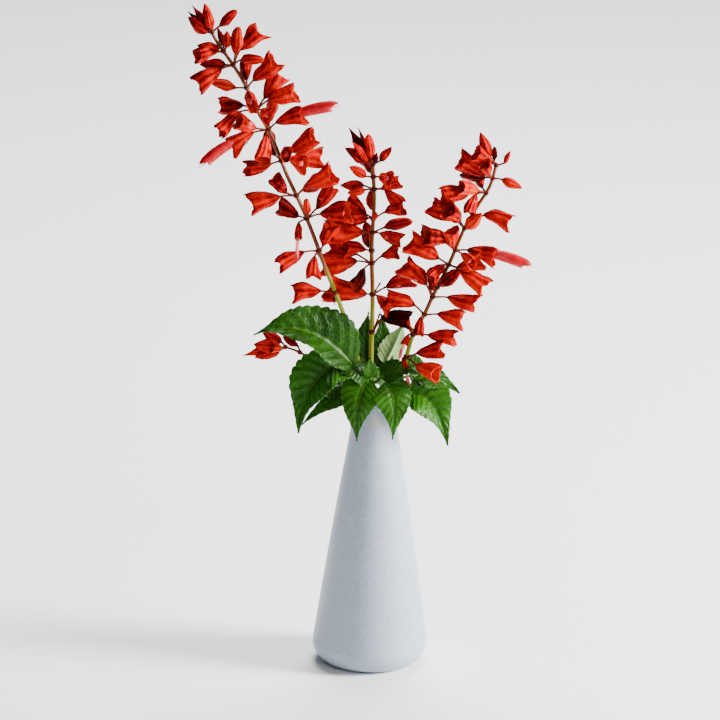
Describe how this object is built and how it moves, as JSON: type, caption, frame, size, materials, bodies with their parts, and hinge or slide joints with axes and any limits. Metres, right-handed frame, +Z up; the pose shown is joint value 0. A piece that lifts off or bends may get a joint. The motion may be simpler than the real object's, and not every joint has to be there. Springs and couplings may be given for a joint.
{
  "type": "salvia in vase",
  "caption": "Slim conical vase holding cut scarlet sage: leaning spikes of tubular red flowers and buds over toothed green leaves.",
  "frame": {"origin": "middle of the vase's flat foot, on the surface it stands on", "axes": "+Z up along the vase's axis, +X to the side where the right spike leans, -Y towards the front leaves"},
  "size_m": [0.2198, 0.0748, 0.4461],
  "materials": {
    "vase_glaze": "satin glazed stoneware",
    "stem": "slightly ridged green stem flushed red",
    "leaf": "satin leaf, quilted between veins",
    "leaf_underside": "dull pale leaf underside",
    "flower": "velvety ribbed calyx and smooth petals",
    "bud": "velvety closed bud"
  },
  "bodies": {
    "root": {"centre_stem": "stem", "centre_tip_buds": "bud", "centre_whorl_01": "flower", "centre_whorl_02": "flower", "centre_whorl_03": "flower", "centre_whorl_04": "flower", "centre_whorl_05": "flower", "centre_whorl_06": "flower", "centre_whorl_07": "flower", "centre_whorl_08": "flower", "leaf_back_hanging_left": "leaf", "leaf_back_hanging_right": "leaf", "leaf_back_left": "leaf", "leaf_back_right": "leaf", "leaf_front_left": "leaf", "leaf_front_right": "leaf", "leaf_left_folded": "leaf", "leaf_left_hanging": "leaf", "leaf_left_low": "leaf", "leaf_left_shaded": "leaf", "leaf_neck_left": "leaf", "leaf_neck_right": "leaf", "leaf_pale": "leaf_underside", "leaf_right_hanging": "leaf", "leaf_right_shaded": "leaf", "leaf_round": "leaf", "leaf_upper_left": "leaf", "leaf_young": "leaf", "left_stem": "stem", "left_tip_buds": "bud", "left_whorl_01": "flower", "left_whorl_02": "flower", "left_whorl_03": "flower", "left_whorl_04": "flower", "left_whorl_05": "flower", "left_whorl_06": "flower", "left_whorl_07": "flower", "left_whorl_08": "flower", "left_whorl_09": "flower", "left_whorl_10": "flower", "right_stem": "stem", "right_tip_buds": "bud", "right_whorl_01": "flower", "right_whorl_02": "flower", "right_whorl_03": "flower", "right_whorl_04": "flower", "right_whorl_05": "flower", "right_whorl_06": "flower", "right_whorl_07": "flower", "right_whorl_08": "flower", "right_whorl_09": "flower", "right_whorl_10": "flower", "side_shoot_stem": "stem", "side_shoot_tip_buds": "bud", "side_shoot_whorl_01": "flower", "vase": "vase_glaze"}
  },
  "joints": []
}
